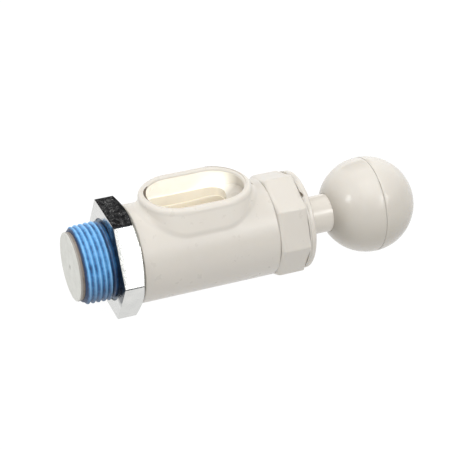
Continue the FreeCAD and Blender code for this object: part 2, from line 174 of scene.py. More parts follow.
def new_piece(name, verts, faces, body, slot, replaces=(), sharp_angle=32):
    """A shaded mesh that rides on a CAD body and may stand for CAD nodes."""
    mesh = bpy.data.meshes.new(name)
    mesh.from_pydata([tuple(v) for v in verts], [], faces)
    mesh.validate()
    shell = bmesh.new()
    shell.from_mesh(mesh)
    bmesh.ops.recalc_face_normals(shell, faces=shell.faces)
    shell.to_mesh(mesh)
    shell.free()
    mesh.shade_smooth()
    mesh.set_sharp_from_angle(angle=math.radians(sharp_angle))
    obj = bpy.data.objects.new(name, mesh)
    bpy.context.scene.collection.objects.link(obj)
    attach(obj, body)
    if slot:
        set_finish(obj, slot)
    if replaces:
        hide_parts(*replaces)
    return obj


def lathe(rows, angles, closed=True):
    """Vertices and faces of a skin round the X axis.

    A row is (x, r), each a number or one value per angle. Angles run from +Z
    towards -Y. A closed skin joins its last row to its first.
    """
    sin, cos = np.sin(angles), np.cos(angles)
    count = len(angles)
    verts = []
    for x, r in rows:
        x = np.broadcast_to(np.asarray(x, float), (count,))
        r = np.broadcast_to(np.asarray(r, float), (count,))
        if r.max() < 1e-9:
            verts.append(np.array([[x[0], 0.0, 0.0]]))
        else:
            verts.append(np.column_stack([x, -r * sin, r * cos]))
    starts = np.cumsum([0] + [len(v) for v in verts])
    pairs = [(k, k + 1) for k in range(len(rows) - 1)]
    if closed:
        pairs.append((len(rows) - 1, 0))
    faces = []
    for k, m in pairs:
        a, b = int(starts[k]), int(starts[m])
        for i in range(count):
            j = (i + 1) % count
            if len(verts[k]) == 1:
                faces.append((a, b + j, b + i))
            elif len(verts[m]) == 1:
                faces.append((a + i, a + j, b))
            else:
                faces.append((a + i, a + j, b + j, b + i))
    return np.concatenate(verts), faces


def even_angles(count):
    return np.linspace(0, 2 * math.pi, count, endpoint=False)


def angles_with_corners(count, sides, first_corner, half_span, steps):
    """Even angles, with extra ones close to each corner of a polygon."""
    corners = np.radians(first_corner + 360 / sides * np.arange(sides))
    spread = np.linspace(-half_span, half_span, 2 * steps + 1)
    extra = (corners[:, None] + np.radians(spread)).ravel() % (2 * math.pi)
    base = even_angles(count)
    gap = np.abs((base[:, None] - corners + math.pi) % (2 * math.pi) - math.pi).min(axis=1)
    base = base[gap > math.radians(half_span) * 1.2]
    return np.sort(np.concatenate([base, extra]))


def polygon_radius(angles, apothem, sides, first_corner, round_r):
    """Radius of a regular polygon with rounded corners at each angle."""
    step = 2 * math.pi / sides
    offset = (angles - math.radians(first_corner)) % step
    from_flat = np.abs(offset - step / 2)
    flat = apothem / np.cos(from_flat)
    from_corner = step / 2 - from_flat
    centre = (apothem - round_r) / math.cos(step / 2)
    inside = np.maximum(round_r ** 2 - (centre * np.sin(from_corner)) ** 2, 0)
    arc = centre * np.cos(from_corner) + np.sqrt(inside)
    tangent = math.atan((apothem - round_r) * math.tan(step / 2) / apothem)
    return np.where(from_flat > tangent, arc, flat)


def noise_field(points, feature, octaves=3, seed=0.0):
    """Seeded noise of about -1 to 1 at each point, for a feature size in metres."""
    shift = Vector((seed, 1.7 * seed, -0.6 * seed))
    return np.array([noise.fractal(Vector(p) / feature + shift, 1.0, 2.0, octaves) for p in points])


def ring_points(x, r, angles):
    x = np.broadcast_to(x, angles.shape)
    return np.column_stack([x, -r * np.sin(angles), r * np.cos(angles)])


# ---------------------------------------------------------------- inlet fitting

def crest_r(x):
    return SMALL_CREST_R + (x - STUB_END_X) * TAPER


def thread_radius(x, angles):
    """The thread's surface at one station along the axis, for all angles."""
    turn = (x - THREAD_START_X) / PITCH - (angles - math.pi) / (2 * math.pi)
    from_crest = np.abs(turn - np.round(turn)) * PITCH
    flank = PITCH / 2 - ROOT_HALF_FLAT - CREST_HALF_FLAT
    height = 1 - np.clip((from_crest - CREST_HALF_FLAT) / flank, 0, 1)
    root = crest_r(x) - THREAD_DEPTH
    lead = root + (THREAD_DEPTH * (x - STUB_END_X) / LEAD_CHAMFER) + 0.1 * MM
    vanish = root + THREAD_DEPTH * (RELIEF_DEPTH - x) / (RELIEF_DEPTH + LEAD_CHAMFER)
    r = root + THREAD_DEPTH * height
    return np.maximum(np.minimum(np.minimum(r, lead), vanish), root)


def build_fitting():
    angles = angles_with_corners(360, 6, HEX_FIRST_CORNER, 0.5, 4)
    outline = polygon_radius(angles, HEX_APOTHEM, 6, HEX_FIRST_CORNER, 2 * HEX_EDGE_ROUND)
    slope = (HEX_REAR_X - HEX_CHAMFER_X) / (HEX_CORNER_R - HEX_REAR_R)
    chamfer_x = HEX_CHAMFER_X + (HEX_CORNER_R - outline) * slope
    edge = HEX_EDGE_ROUND
    rows = [
        (STUB_END_X + 0.3 * MM, BORE_R),
        (STUB_END_X, BORE_R + 0.3 * MM),
        (STUB_END_X, crest_r(STUB_END_X) - THREAD_DEPTH - 0.1 * MM),
    ]
    stations = np.arange(STUB_END_X + 0.02 * MM, RELIEF_DEPTH, 0.09 * MM)
    rows += [(x, thread_radius(x, angles)) for x in stations]
    rows += [
        (RELIEF_DEPTH, crest_r(0) - THREAD_DEPTH),
        (RELIEF_DEPTH, RELIEF_R - 0.05 * MM),
        (0.05 * MM, RELIEF_R),
        (0.0, RELIEF_R + 0.1 * MM),
    ]
    rows += [(0.0, RELIEF_R + (outline - edge - RELIEF_R) * t) for t in (0.35, 0.7, 1.0)]
    rows += [
        (edge * (1 - math.cos(t)), outline - edge * (1 - math.sin(t)))
        for t in np.radians((30, 60, 90))
    ]
    rows += [(edge + (chamfer_x - edge) * t, outline) for t in (0.25, 0.5, 0.75, 1.0)]
    rows += [
        (chamfer_x + 0.12 * MM, outline - 0.12 * MM / slope),
        (HEX_REAR_X, np.full_like(angles, HEX_REAR_R)),
        (HEX_REAR_X + 0.1 * MM, BODY_GASKET_HIGH.z + 0.3 * MM),
        (BODY_LOW.x - CAP_LIP_GAP, BODY_GASKET_HIGH.z + 0.25 * MM),
        (BODY_LOW.x - CAP_LIP_GAP, BODY_GASKET_HIGH.z + 0.05 * MM),
        (HEX_REAR_X, BODY_GASKET_HIGH.z + 0.05 * MM),
        (HEX_REAR_X, SPIGOT_R),
        (FITTING_HIGH.x - 0.4 * MM, SPIGOT_R),
        (FITTING_HIGH.x, SPIGOT_R - 0.4 * MM),
        (FITTING_HIGH.x, GUIDE_BORE_R),
        (RING_GROOVE_END_X, GUIDE_BORE_R),
        (RING_GROOVE_END_X, RING_GROOVE_R),
        (RING_GROOVE_X, RING_GROOVE_R),
        (RING_GROOVE_X, GUIDE_BORE_R),
        (GUIDE_SEAT_X, GUIDE_BORE_R),
        (GUIDE_SEAT_X, BORE_R),
    ]
    verts, faces = lathe(rows, angles)
    return new_piece("fitting_skin", verts, faces, "valve", "nickel_plate", ["inlet_fitting"], 20)


# ---------------------------------------------------------------- thread sealant

SEALANT_START_X = STUB_END_X - 0.01 * MM
SEALANT_END_X = -1.9 * MM
SEALANT_EDGE_WANDER = 0.5 * MM
SEALANT_STEP = 0.09 * MM
SEALANT_VALLEY_DEPTH = 0.16 * MM
SEALANT_LEAD = 0.45 * MM
SEALANT_BURIED = 0.5 * MM
SEALANT_OVERRUN = 2.2 * MM
SEALANT_FADE = 0.5 * MM
COAT_THICK = 0.10 * MM
COAT_LUMPS = 0.055 * MM
COAT_STREAKS = 0.05 * MM
COAT_THIN = 0.02 * MM
COAT_SUNK = 0.03 * MM
NOISE_R = 13.5 * MM
STREAK_SQUEEZE = 3.5
# How the coat softens the thread's shape: each place along the axis in mm, and its weight.
SOFTENING = [(-0.2, 0.12), (-0.1, 0.22), (0.0, 0.32), (0.1, 0.22), (0.2, 0.12)]


def sealant_rows(angles):
    """Rows of the coat: the thread's shape, softened, thickened and lumpy, with a ragged edge."""
    edge_noise = noise_field(ring_points(0.0, 13 * MM, angles), 5 * MM, 3, 4.0)
    edge = SEALANT_END_X + SEALANT_EDGE_WANDER * edge_noise
    rows = []
    for x in np.arange(SEALANT_START_X, SEALANT_END_X + SEALANT_OVERRUN, SEALANT_STEP):
        soft = sum(weight * thread_radius(x + d * MM, angles) for d, weight in SOFTENING)
        filled = np.maximum(soft, crest_r(x) - SEALANT_VALLEY_DEPTH - 0.35 * (crest_r(x) - soft))
        lead = SEALANT_LEAD * (1 - min((x - STUB_END_X) / LEAD_CHAMFER, 1))
        base = np.maximum(filled - lead, thread_radius(x, angles))
        lumps = noise_field(ring_points(x, NOISE_R, angles), 1.9 * MM, 4, 9.0)
        streaks = noise_field(ring_points(STREAK_SQUEEZE * x, NOISE_R, angles), 6 * MM, 2, 2.0)
        coat = COAT_THICK + COAT_LUMPS * lumps + COAT_STREAKS * streaks
        inside = np.clip((edge - x) / SEALANT_FADE, -1, 1)
        rows.append((x, base + np.maximum(coat, COAT_THIN) * inside - COAT_SUNK * (inside < 0)))
    return rows


def build_sealant():
    angles = even_angles(360)
    skin = sealant_rows(angles)
    first_x, last_x = skin[0][0], skin[-1][0]
    buried = crest_r(first_x) - THREAD_DEPTH - SEALANT_BURIED
    rows = [(first_x, buried)] + skin + [(last_x, buried)]
    verts, faces = lathe(rows, angles)
    return new_piece("thread_sealant", verts, faces, "valve", None, (), 60)


# ---------------------------------------------------------------- end cap

def build_end_cap():
    angles = angles_with_corners(240, 8, CAP_FIRST_CORNER, 3.0, 5)
    outline = polygon_radius(angles, CAP_APOTHEM, 8, CAP_FIRST_CORNER, CAP_CORNER_ROUND)
    neck_x = BODY_HIGH.x + CAP_LIP_GAP
    rows = [
        (CAP_LOW.x, CAP_SPIGOT_INNER_R),
        (CAP_LOW.x, CAP_SPIGOT_R - 0.5 * MM),
        (CAP_LOW.x + 0.5 * MM, CAP_SPIGOT_R),
        (GASKET_HIGH.x, CAP_SPIGOT_R),
        (GASKET_HIGH.x, GASKET_HIGH.z + 0.1 * MM),
        (neck_x, GASKET_HIGH.z + 0.2 * MM),
        (neck_x, CAP_NECK_R - 0.3 * MM),
    ]
    for t in np.radians(np.linspace(8, 90, 9)):
        x = neck_x + CAP_BEVEL * (1 - math.cos(t))
        rows.append((x, CAP_NECK_R + (outline - CAP_NECK_R) * math.sin(t)))
    straight = neck_x + CAP_BEVEL
    rows += [(straight + (CAP_FLATS_END_X - CAP_EASE - straight) * t, outline) for t in (0.35, 0.7, 1.0)]
    rows += [
        (CAP_FLATS_END_X - CAP_EASE * (1 - math.sin(t)), outline - CAP_EASE * (1 - math.cos(t)))
        for t in np.radians((30, 60, 90))
    ]
    rows += [
        (CAP_FLATS_END_X, CAP_LIP_R + 0.25 * MM),
        (CAP_FLATS_END_X + 0.15 * MM, CAP_LIP_R),
        (CAP_HIGH.x + CAP_LIP_LAP, CAP_LIP_R),
        (CAP_HIGH.x + CAP_LIP_LAP, CAP_LIP_R - 0.4 * MM),
        (CAP_HIGH.x, CAP_SEAT_R),
        (CAP_HIGH.x, CAP_BORE_R),
        (CAP_WEB_X, CAP_BORE_R),
        (CAP_WEB_X, CAP_SPIGOT_INNER_R),
    ]
    verts, faces = lathe(rows, angles)
    return new_piece("cap_skin", verts, faces, "valve", "ivory_plastic", ["end_cap"], 28)


# ---------------------------------------------------------------- ball

BALL_R = INNER_HIGH.z
BALL_CENTRE_X = OUTER_HIGH.x - BALL_R
SEAM_EASE = 0.22 * MM
SEAM_GROOVE = 0.28 * MM
SKIN_UNEVEN = 0.05 * MM
SKIN_FEATURE = 9 * MM


def ball_rows(low_angle, high_angle, steps, radius):
    """(x, r) on the sphere; 0 degrees is the pole at -X and 180 the pole at +X."""
    return [
        (BALL_CENTRE_X - radius * math.cos(t), radius * math.sin(t))
        for t in np.radians(np.linspace(low_angle, high_angle, steps))
    ]


def roughen(verts, amount, feature, seed):
    """Moves the ball's outer skin in or out a little, as moulding leaves it."""
    centre = np.array([BALL_CENTRE_X, 0, 0])
    away = verts - centre
    dist = np.linalg.norm(away, axis=1)
    outer = dist > BALL_R - 0.3 * MM
    shift = noise_field(verts, feature, 2, seed) * amount * outer
    return verts + away / np.maximum(dist, MM)[:, None] * shift[:, None]


def build_inner_shell():
    angles = even_angles(144)
    seat_angle = math.degrees(math.asin(BALL_SEAT_R / BALL_R))
    inner_r = BALL_R - BALL_WALL
    ease = math.degrees(SEAM_EASE / BALL_R)
    boss_angle = math.degrees(math.asin(BALL_BOSS_R / inner_r))
    lap_x = INNER_HIGH.x
    lap_inner = inner_r - 0.4 * MM
    rows = ball_rows(seat_angle, 90 - ease, 40, BALL_R)
    rows += [
        (BALL_CENTRE_X - 0.05 * MM, BALL_R - 0.12 * MM),
        (BALL_CENTRE_X - 0.03 * MM, BALL_R - SEAM_GROOVE),
        (BALL_CENTRE_X, BALL_LAP_R),
        (lap_x, BALL_LAP_R),
        (lap_x, lap_inner),
        (BALL_CENTRE_X - 2 * MM, lap_inner),
    ]
    rows += ball_rows(82, boss_angle, 24, inner_r)
    rows += [
        (INSERT_HIGH.x + MM, BALL_BOSS_R),
        (INSERT_HIGH.x + MM, SPINDLE_HOLE_R),
        (INSERT_HIGH.x, SPINDLE_HOLE_R),
        (INSERT_HIGH.x, INSERT_HOLE_R),
        (INSERT_LOW.x, INSERT_HOLE_R),
        (INSERT_LOW.x, SPINDLE_HOLE_R),
        (SLEEVE_HIGH.x, SPINDLE_HOLE_R),
        (SLEEVE_HIGH.x, BALL_SEAT_R),
    ]
    verts, faces = lathe(rows, angles)
    verts = roughen(verts, SKIN_UNEVEN, SKIN_FEATURE, 3.0)
    return new_piece(
        "ball_inner_half", verts, faces, "float_stem", "ivory_plastic", ["float_inner_shell"], 40
    )


def build_outer_shell():
    angles = even_angles(144)
    inner_r = BALL_R - BALL_WALL
    ease = math.degrees(SEAM_EASE / BALL_R)
    rows = ball_rows(180, 90 + ease, 40, BALL_R)
    rows += [
        (BALL_CENTRE_X + 0.06 * MM, BALL_R - 0.12 * MM),
        (BALL_CENTRE_X + 0.04 * MM, BALL_R - SEAM_GROOVE),
        (BALL_CENTRE_X + 0.02 * MM, BALL_LAP_R + 0.05 * MM),
        (INNER_HIGH.x + 0.05 * MM, BALL_LAP_R + 0.05 * MM),
        (INNER_HIGH.x + 0.05 * MM, inner_r - 0.1 * MM),
    ]
    rows += ball_rows(99, 180, 24, inner_r)
    verts, faces = lathe(rows, angles, closed=False)
    verts = roughen(verts, SKIN_UNEVEN, SKIN_FEATURE, 7.0)
    return new_piece(
        "ball_outer_half", verts, faces, "float_stem", "ivory_plastic", ["float_outer_shell"], 40
    )


def build_seam_flash():
    """The bead of flash squeezed out of the ball's joint, thicker in places."""
    angles = even_angles(240)
    ring = ring_points(BALL_CENTRE_X, BALL_R, angles)
    lumps = noise_field(ring, 3 * MM, 4, 5.0)
    height = np.clip(-0.06 + 0.16 * lumps, -0.16, 0.2) * MM
    half = np.clip(0.09 + 0.05 * lumps, 0.04, 0.2) * MM
    wander = BALL_CENTRE_X + 0.06 * MM * noise_field(ring, 8 * MM, 2, 8.0)
    rows = [
        (wander - half, BALL_R - 0.26 * MM),
        (wander - half * 0.6, BALL_R + height * 0.7),
        (wander, BALL_R + height),
        (wander + half * 0.6, BALL_R + height * 0.7),
        (wander + half, BALL_R - 0.26 * MM),
    ]
    verts, faces = lathe(rows, angles)
    return new_piece("ball_seam_flash", verts, faces, "float_stem", "ivory_plastic", (), 60)


# ---------------------------------------------------------------- moulding marks

MARK_STEPS = 24
MARK_TIP = 0.12
DARK_MARK_R = 0.5 * MM
FLASH_R = 0.13 * MM
NICK_FROM_AXIS = 17.15 * MM
# The nick in the cap's edge, from end to end: the place along the axis and the half
# thickness in mm, and the angle in degrees.
NICK = [(66.25, 0.1, 26.5), (66.4, 0.26, 29), (66.5, 0.32, 31), (66.55, 0.12, 33)]


def tapered_cord(points, radii, sides=8):
    """A closed tube through points, with one radius at each."""
    points = np.asarray(points, float)
    ways = np.gradient(points, axis=0)
    ways /= np.linalg.norm(ways, axis=1)[:, None]
    aside = np.cross(ways, (0, 0, 1))
    aside /= np.linalg.norm(aside, axis=1)[:, None]
    up = np.cross(aside, ways)
    turn = even_angles(sides)
    verts = []
    for k, radius in enumerate(radii):
        verts += [points[k] + radius * (math.cos(t) * aside[k] + math.sin(t) * up[k]) for t in turn]
    faces = []
    for k in range(len(radii) - 1):
        for i in range(sides):
            j = (i + 1) % sides
            faces.append((k * sides + i, k * sides + j, (k + 1) * sides + j, (k + 1) * sides + i))
    last = (len(radii) - 1) * sides
    faces.append(tuple(range(sides))[::-1])
    faces.append(tuple(range(last, last + sides)))
    return verts, faces


def rim_path(angles, beyond, depth):
    """Points round the port's end arcs, from 0 degrees at +Y to 90 at +X or -90 at -X.

    The angles, the distance beyond the port's edge and the depth under the rim's top
    are (first, last) pairs.
    """
    points = []
    for t in np.linspace(0, 1, MARK_STEPS):
        angle = math.radians(angles[0] + (angles[1] - angles[0]) * t)
        middle = PORT_END_X - PORT_HALF_WIDTH if math.sin(angle) > 0 else PORT_START_X + PORT_HALF_WIDTH
        reach = PORT_HALF_WIDTH + np.interp(t, (0, 1), beyond)
        z = BODY_HIGH.z - np.interp(t, (0, 1), depth)
        points.append((middle + reach * math.sin(angle), reach * math.cos(angle), z))
    return points


def build_mark(name, points, radii):
    verts, faces = tapered_cord(points, radii)
    return new_piece(name, verts, faces, "valve", "ivory_plastic", (), 60)


def build_marks():
    """A dark mark at the rim's inlet end, hair-thin flash lines at its other end, a nick in the cap."""
    bulge = np.sin(np.linspace(MARK_TIP, math.pi - MARK_TIP, MARK_STEPS))
    dark_mark = rim_path((-104, -44), (0.35 * MM, 0.3 * MM), (0.3 * MM, 0.42 * MM))
    build_mark("rim_chip", dark_mark, DARK_MARK_R * bulge ** 0.7)
    long_line = rim_path((8, 116), (1.7 * MM, 0.6 * MM), (0.02 * MM, 0.1 * MM))
    build_mark("rim_flash_long", long_line, FLASH_R * bulge ** 0.4)
    nick = [ring_points(x * MM, NICK_FROM_AXIS, np.radians([a]))[0] for x, r, a in NICK]
    build_mark("cap_nick", nick, [r * MM for x, r, a in NICK])
    branch = rim_path((97, 104), (0.8 * MM, 3.2 * MM), (0.05 * MM, 1.3 * MM))
    build_mark("rim_flash_short", branch, FLASH_R * bulge ** 0.4)


# ---------------------------------------------------------------- return spring

SPRING_WIRE_R = 0.175 * MM
SPRING_TURNS = 9
SPRING_END_TURNS = 0.75


def build_spring():
    """A compression spring with closed ends, built at one length; the real one shortens as the float lifts
    the disc.
    """
    mean_r = SPRING_HIGH.z - SPRING_WIRE_R
    start, stop = SPRING_LOW.x + SPRING_WIRE_R, SPRING_HIGH.x - SPRING_WIRE_R
    steps = 40 * SPRING_TURNS
    section = 10
    closed_pitch = 2.4 * SPRING_WIRE_R
    free_turns = SPRING_TURNS - 2 * SPRING_END_TURNS
    free_length = stop - start - 2 * SPRING_END_TURNS * closed_pitch
    verts, faces = [], []
    for k in range(steps + 1):
        turn = SPRING_TURNS * k / steps
        ends = min(turn, SPRING_END_TURNS) + max(turn - SPRING_TURNS + SPRING_END_TURNS, 0)
        middle = min(max(turn - SPRING_END_TURNS, 0), free_turns)
        x = start + closed_pitch * ends + free_length * middle / free_turns
        a = 2 * math.pi * turn
        for m in range(section):
            b = 2 * math.pi * m / section
            r = mean_r + SPRING_WIRE_R * math.cos(b)
            verts.append((x + SPRING_WIRE_R * math.sin(b), -r * math.sin(a), r * math.cos(a)))
    for k in range(steps):
        for m in range(section):
            n = (m + 1) % section
            a, b = k * section, (k + 1) * section
            faces.append((a + m, a + n, b + n, b + m))
    faces.append(tuple(reversed(range(section))))
    faces.append(tuple(steps * section + m for m in range(section)))
    spring = new_piece("spring_coil", verts, faces, "valve", "spring_steel", ["return_spring"], 60)
    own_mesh(spring)
    return spring


build_fitting()
build_sealant()
build_end_cap()
build_inner_shell()
build_outer_shell()
build_seam_flash()
build_marks()
build_spring()


# ---------------------------------------------------------------- colours and where they change

IVORY_DARK = (0.530, 0.499, 0.451)
IVORY_LIGHT = (0.536, 0.506, 0.458)
IVORY_ROUGH = 0.3
IVORY_SUBSURFACE = 0.15
BALL_ROUGH = 0.2
# The ball's darker lower colour is painted shade.
BALL_PAINTED_SHADE = (0.455, 0.425, 0.375)
# The sleeve's colours are a paler copy of the ivory, as painted light.
SLEEVE_PAINTED_LIGHT_LOW = (0.565, 0.53, 0.475)
SLEEVE_PAINTED_LIGHT_HIGH = (0.60, 0.565, 0.51)
# The seam bead's dark colours are painted shade in the ball's joint.
SEAM_PAINTED_SHADE_LOW = (0.24, 0.21, 0.17)
SEAM_PAINTED_SHADE_HIGH = (0.34, 0.31, 0.26)
SEAM_ROUGH = 0.5
FLASH_DARK = (0.20, 0.16, 0.11)
FLASH_LIGHT = (0.34, 0.28, 0.20)
DARK_MARK_LOW = (0.05, 0.035, 0.02)
DARK_MARK_HIGH = (0.16, 0.12, 0.08)
# The collar's outer wall is paler as painted light.
COLLAR_PAINTED_LIGHT = (0.665, 0.628, 0.568)
# The pocket's near-white is painted light.
POCKET_PAINTED_LIGHT = (0.94, 0.915, 0.84)
# The pocket's far end is darker as painted shade.
POCKET_END_PAINTED_SHADE = (0.49, 0.455, 0.40)
# The slot's cut and the bore are yellower as painted light, and this tint is also their painted glow's
# colour.
CUT_PAINTED_LIGHT = (0.80, 0.745, 0.63)
# The pocket and the bore glow as painted light.
BORE_PAINTED_GLOW = 0.36
POCKET_PAINTED_GLOW = 0.13
DISC_DARK = (0.52, 0.52, 0.48)
DISC_LIGHT = (0.60, 0.60, 0.56)
DISC_RIM_COLOUR = (0.27, 0.25, 0.225)
GUIDE_DARK = (0.74, 0.71, 0.64)
GUIDE_LIGHT = (0.8, 0.77, 0.7)
GASKET_DARK = (0.02, 0.02, 0.02)
GASKET_LIGHT = (0.045, 0.045, 0.045)
SEAL_DARK = (0.17, 0.14, 0.115)
SEAL_LIGHT = (0.26, 0.22, 0.185)
NICKEL_DARK = (0.58, 0.585, 0.57)
NICKEL_LIGHT = (0.66, 0.66, 0.64)
STEEL_DARK = (0.55, 0.55, 0.54)
STEEL_LIGHT = (0.66, 0.66, 0.65)
BRASS_DARK = (0.62, 0.44, 0.18)
BRASS_LIGHT = (0.74, 0.56, 0.27)
SMEAR_COLOUR = (0.02, 0.03, 0.04)
# The sealant's ramp is darker in the roots partly for the thicker coat there and partly as painted shade;
# the root colour also darkens its lower side as painted shade.
SEALANT_ROOT_AND_SHADE = (0.006, 0.03, 0.09)
SEALANT_DEEP = (0.02, 0.10, 0.26)
SEALANT_MID = (0.07, 0.28, 0.56)
SEALANT_CREST = (0.20, 0.46, 0.76)
SEALANT_AND_SHADE_STOPS = [(0.5, SEALANT_ROOT_AND_SHADE), (0.62, SEALANT_DEEP), (0.78, SEALANT_MID), (0.97, SEALANT_CREST)]
THREAD_DARK_STOPS = [(0.1, (0.012, 0.018, 0.03)), (0.47, (0.13, 0.19, 0.27)), (0.75, (0.02, 0.025, 0.03))]
SCUFF_STOPS = [(0.44, (0.10, 0.10, 0.105)), (0.52, (0.36, 0.36, 0.37)), (0.6, (0.92, 0.92, 0.90))]

# Each pair is where a tint starts to change and where the change is complete.
PLAN_EDGE = (PORT_HALF_WIDTH + 0.05 * MM, PORT_HALF_WIDTH + 0.2 * MM)
UPPER_SIDE = (5 * MM, 7 * MM)
RIM_INSIDE = (BODY_HIGH.z - 1.0 * MM, BODY_HIGH.z - 0.6 * MM)
POCKET_END = (37 * MM, 45 * MM)
CUT_TOP = (BODY_HIGH.y - 0.15 * MM, BODY_HIGH.y + 0.05 * MM)
BORE_WALL = (BODY_BORE_R + 0.1 * MM, BODY_BORE_R + 0.3 * MM)
COLLAR_FOOT = (BODY_HIGH.y + 0.1 * MM, BODY_HIGH.y + 1.2 * MM)
COLLAR_TOP = (BODY_HIGH.z - 2.2 * MM, BODY_HIGH.z - 0.6 * MM)
# Where painted shade on the ball comes in going down, and where it eases off towards the bottom.
BALL_SHADE_TOP = (11 * MM, -3 * MM)
BALL_SHADE_FOOT = (-5 * MM, -10 * MM)
SMEAR_SIDE = (-7.5 * MM, -9 * MM)
SMEAR_FOOT = (-9.5 * MM, -7.5 * MM)
SMEAR_FACE = (0.03 * MM, 0.1 * MM)
SMEAR_WANDER = 1.2 * MM
# Where painted shade on the sealant's lower side comes in, from high to low.
SEALANT_SHADE_SPAN = (3 * MM, -9 * MM)
DISC_EDGE = (DISC_LOW.x + 0.12 * MM, DISC_LOW.x + 0.3 * MM)
DISC_MARK = (0.28 * MM, 0.6 * MM)
RING_PITCH = 1.1 * MM


# ---------------------------------------------------------------- materials

def new_material(name):
    mat = bpy.data.materials.new(name)
    mat.use_nodes = True
    tree = mat.node_tree
    return mat, tree, tree.nodes["Principled BSDF"]


def add(tree, kind, **settings):
    node = tree.nodes.new(kind)
    for key, value in settings.items():
        setattr(node, key, value)
    return node


def link(tree, source, target):
    tree.links.new(source, target)


def coordinates(tree, stretch=(1, 1, 1)):
    """Object coordinates in metres, stretched per axis."""
    coord = add(tree, "ShaderNodeTexCoord")
    mapping = add(tree, "ShaderNodeMapping")
    mapping.inputs["Scale"].default_value = stretch
    link(tree, coord.outputs["Object"], mapping.inputs["Vector"])
    return mapping.outputs["Vector"]


def noise_node(tree, vector, feature, detail=3.0, rough=0.5, seed=0.0):
    node = add(tree, "ShaderNodeTexNoise", noise_dimensions="4D")
    node.inputs["W"].default_value = seed
    node.inputs["Scale"].default_value = 1 / feature
    node.inputs["Detail"].default_value = detail
    node.inputs["Roughness"].default_value = rough
    link(tree, vector, node.inputs["Vector"])
    return node.outputs["Fac"]


def remap(tree, value, low, high, from_low=0.3, from_high=0.7):
    node = add(tree, "ShaderNodeMapRange")
    node.inputs["From Min"].default_value = from_low
    node.inputs["From Max"].default_value = from_high
    node.inputs["To Min"].default_value = low
    node.inputs["To Max"].default_value = high
    link(tree, value, node.inputs["Value"])
    return node.outputs["Result"]


def ramp(tree, value, stops):
    node = add(tree, "ShaderNodeValToRGB")
    elements = node.color_ramp.elements
    while len(elements) < len(stops):
        elements.new(0.5)
    for element, (position, colour) in zip(elements, stops):
        element.position = position
        element.color = (*colour, 1)
    link(tree, value, node.inputs["Fac"])
    return node.outputs["Color"]


def mix_colour(tree, factor, a, b):
    node = add(tree, "ShaderNodeMix", data_type="RGBA", clamp_factor=False)
    link(tree, factor, node.inputs["Factor"])
    for socket, value in ((node.inputs["A"], a), (node.inputs["B"], b)):
        if isinstance(value, tuple):
            socket.default_value = (*value, 1)
        else:
            link(tree, value, socket)
    return node.outputs["Result"]


def math_node(tree, operation, *values):
    node = add(tree, "ShaderNodeMath", operation=operation)
    for socket, value in zip(node.inputs, values):
        if isinstance(value, (int, float)):
            socket.default_value = value
        else:
            link(tree, value, socket)
    return node.outputs[0]


def distance_node(tree, a, b):
    """How far from the origin a point (a, b) lies."""
    squares = [math_node(tree, "MULTIPLY", value, value) for value in (a, b)]
    return math_node(tree, "SQRT", math_node(tree, "ADD", *squares))


def axis_outputs(tree, vector):
    """The X, Y and Z outputs of a vector."""
    split = add(tree, "ShaderNodeSeparateXYZ")
    link(tree, vector, split.inputs["Vector"])
    return tuple(split.outputs[k] for k in "XYZ")


def base_colour(bsdf):
    """What feeds a material's base colour."""
    return bsdf.inputs["Base Color"].links[0].from_socket


def add_bump(tree, bsdf, heights):
    """Chains bumps; each is (height socket, depth in metres)."""
    last = None
    for height, depth in heights:
        bump = add(tree, "ShaderNodeBump")
        bump.inputs["Strength"].default_value = 1.0
        bump.inputs["Distance"].default_value = depth
        link(tree, height, bump.inputs["Height"])
        if last:
            link(tree, last, bump.inputs["Normal"])
        last = bump.outputs["Normal"]
    link(tree, last, bsdf.inputs["Normal"])


def moulded_plastic(name, dark, light, rough, seed, subsurface=0.0):
    """Moulded plastic: a slightly cloudy colour, uneven gloss and a faint orange peel."""
    mat, tree, bsdf = new_material(name)
    where = coordinates(tree)
    cloud = noise_node(tree, where, 9 * MM, 3, 0.5, seed)
    link(tree, mix_colour(tree, remap(tree, cloud, 0, 1), dark, light), bsdf.inputs["Base Color"])
    gloss = noise_node(tree, where, 3 * MM, 3, 0.6, seed + 1)
    link(tree, remap(tree, gloss, rough - 0.04, rough + 0.05), bsdf.inputs["Roughness"])
    wave = noise_node(tree, where, 5 * MM, 1, 0.4, seed + 2)
    peel = noise_node(tree, where, 0.45 * MM, 2, 0.5, seed + 3)
    add_bump(tree, bsdf, [(wave, 0.05 * MM), (peel, 0.006 * MM)])
    bsdf.inputs["IOR"].default_value = 1.46
    if subsurface:
        bsdf.inputs["Subsurface Weight"].default_value = subsurface
        bsdf.inputs["Subsurface Radius"].default_value = (1.0, 0.75, 0.5)
        bsdf.inputs["Subsurface Scale"].default_value = 1.6 * MM
    return mat, tree, bsdf


